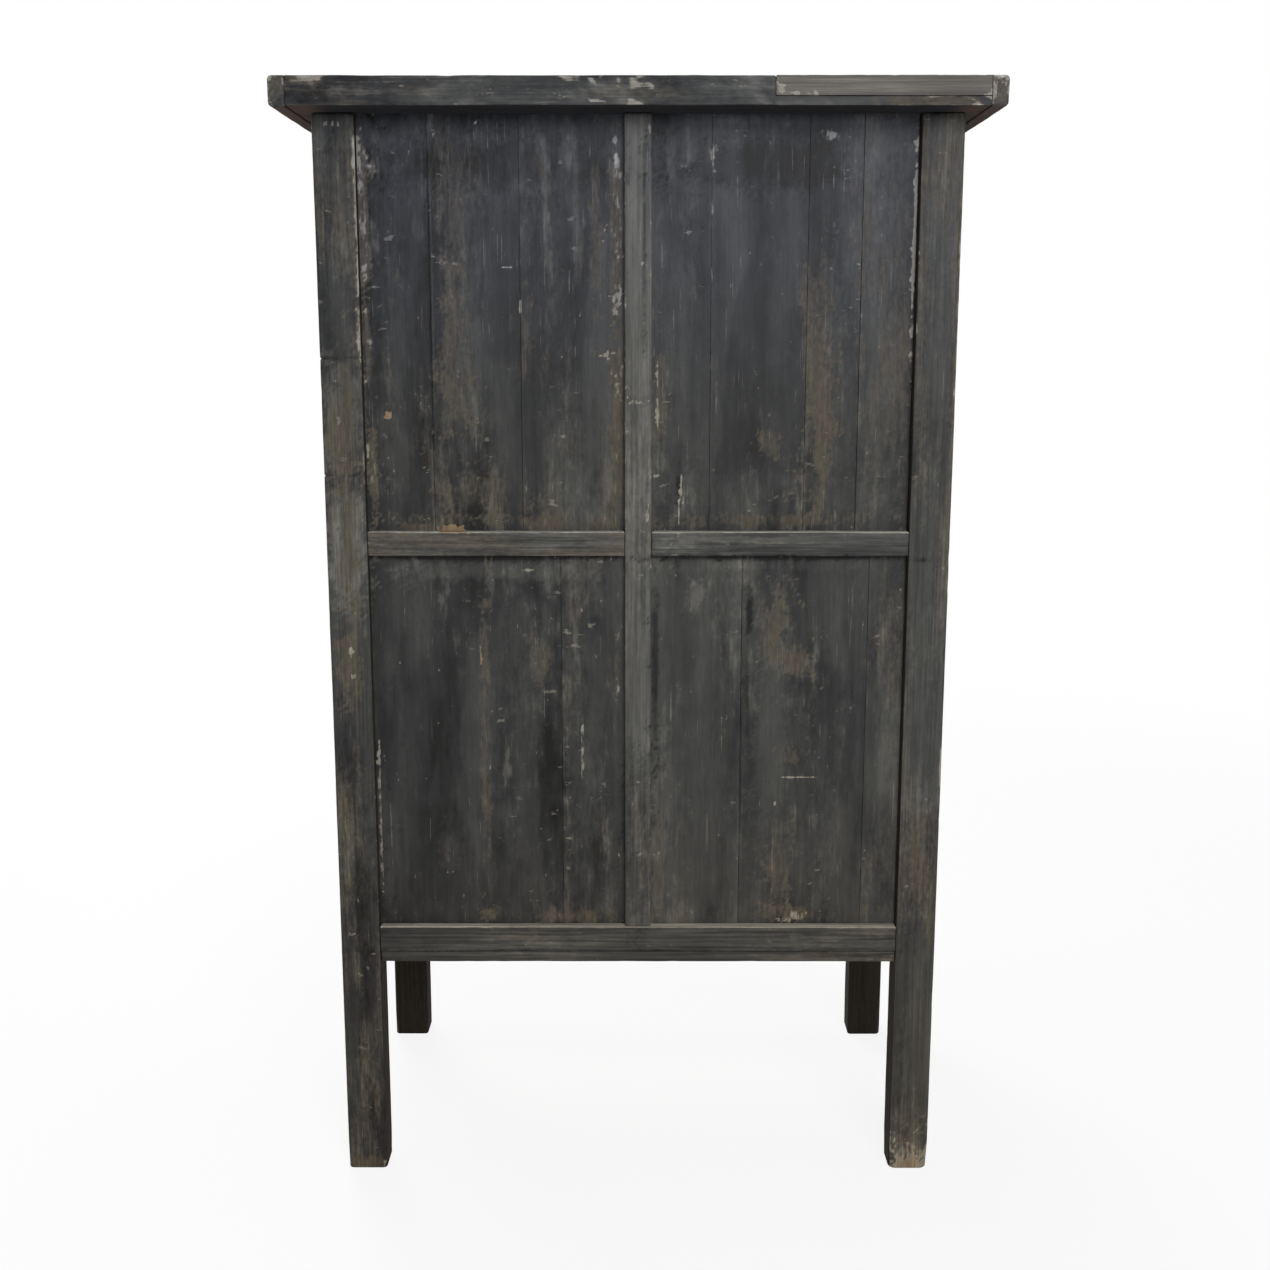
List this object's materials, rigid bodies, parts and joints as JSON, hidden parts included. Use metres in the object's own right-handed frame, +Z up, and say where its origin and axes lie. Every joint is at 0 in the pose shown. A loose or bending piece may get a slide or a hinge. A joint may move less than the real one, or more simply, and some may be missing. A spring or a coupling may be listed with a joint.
{
  "type": "standing cabinet",
  "caption": "Tall cabinet on legs with an overhanging plank top, board panels in a tenoned frame, and doors on wooden pivots with drop pulls, in worn black lacquer.",
  "frame": {"origin": "centre of the plan, on the floor", "axes": "+Z up, the doors face -Y and the back faces +Y, left is -X as seen from the front"},
  "size_m": [1.098, 0.734, 1.795],
  "materials": {
    "black_lacquer": "worn matte black lacquer over wood",
    "bare_wood": "aged unfinished wood",
    "repair_wood": "newer wood, thinly stained",
    "aged_brass": "dull aged brass"
  },
  "bodies": {
    "carcass": {"apron_spandrel_left": "black_lacquer", "apron_spandrel_right": "black_lacquer", "back_bottom_rail": "black_lacquer", "back_centre_stile": "black_lacquer", "back_mid_rail_left": "black_lacquer", "back_mid_rail_right": "black_lacquer", "back_panel_left_lower": "black_lacquer", "back_panel_left_upper": "black_lacquer", "back_panel_right_lower": "black_lacquer", "back_panel_right_upper": "black_lacquer", "door_stop": "bare_wood", "floor_boards": "bare_wood", "front_apron": "black_lacquer", "front_bottom_rail": "black_lacquer", "front_post_left": "black_lacquer", "front_post_right": "black_lacquer", "rail_pegs": "bare_wood", "rear_post_left": "black_lacquer", "rear_post_right": "black_lacquer", "shelf_bearer_left": "bare_wood", "shelf_bearer_right": "bare_wood", "shelf_boards": "bare_wood", "side_bottom_rail_left": "black_lacquer", "side_bottom_rail_right": "black_lacquer", "side_mid_rail_left": "black_lacquer", "side_mid_rail_right": "black_lacquer", "side_panel_left_lower": "black_lacquer", "side_panel_left_upper": "black_lacquer", "side_panel_right_lower": "black_lacquer", "side_panel_right_upper": "black_lacquer", "top_batten_left": "bare_wood", "top_batten_right": "bare_wood", "top_end_cap_left": "black_lacquer", "top_end_cap_right": "black_lacquer", "top_plank_front": "black_lacquer", "top_plank_middle": "black_lacquer", "top_plank_rear": "black_lacquer", "top_repair_strip": "repair_wood"},
    "door_left": {"door_left_bottom_rail": "black_lacquer", "door_left_hinge_stile": "black_lacquer", "door_left_lower_panel": "black_lacquer", "door_left_meeting_stile": "black_lacquer", "door_left_mid_rail": "black_lacquer", "door_left_top_rail": "black_lacquer", "door_left_upper_panel": "black_lacquer", "pull_plate_left": "aged_brass", "pull_staple_left": "aged_brass"},
    "door_right": {"door_right_bottom_rail": "black_lacquer", "door_right_hinge_stile": "black_lacquer", "door_right_lower_panel": "black_lacquer", "door_right_meeting_stile": "black_lacquer", "door_right_mid_rail": "black_lacquer", "door_right_top_rail": "black_lacquer", "door_right_upper_panel": "black_lacquer", "pull_plate_right": "aged_brass", "pull_staple_right": "aged_brass"},
    "pull_left": {"drop_pull_left": "aged_brass"},
    "pull_right": {"drop_pull_right": "aged_brass"}
  },
  "joints": [
    {"name": "door_left_hinge", "type": "hinge", "parent": "carcass", "child": "door_left", "pos_m": [-0.4175, -0.281, 0.442], "axis": [0, 0, -1], "range_deg": [0, 95]},
    {"name": "door_right_hinge", "type": "hinge", "parent": "carcass", "child": "door_right", "pos_m": [0.4175, -0.281, 0.442], "axis": [0, 0, 1], "range_deg": [0, 95]},
    {"name": "pull_left_swing", "type": "hinge", "parent": "door_left", "child": "pull_left", "pos_m": [-0.025, -0.3043, 1.1777], "axis": [-1, 0, 0], "range_deg": [0, 90]},
    {"name": "pull_right_swing", "type": "hinge", "parent": "door_right", "child": "pull_right", "pos_m": [0.025, -0.3043, 1.1777], "axis": [-1, 0, 0], "range_deg": [0, 90]}
  ]
}
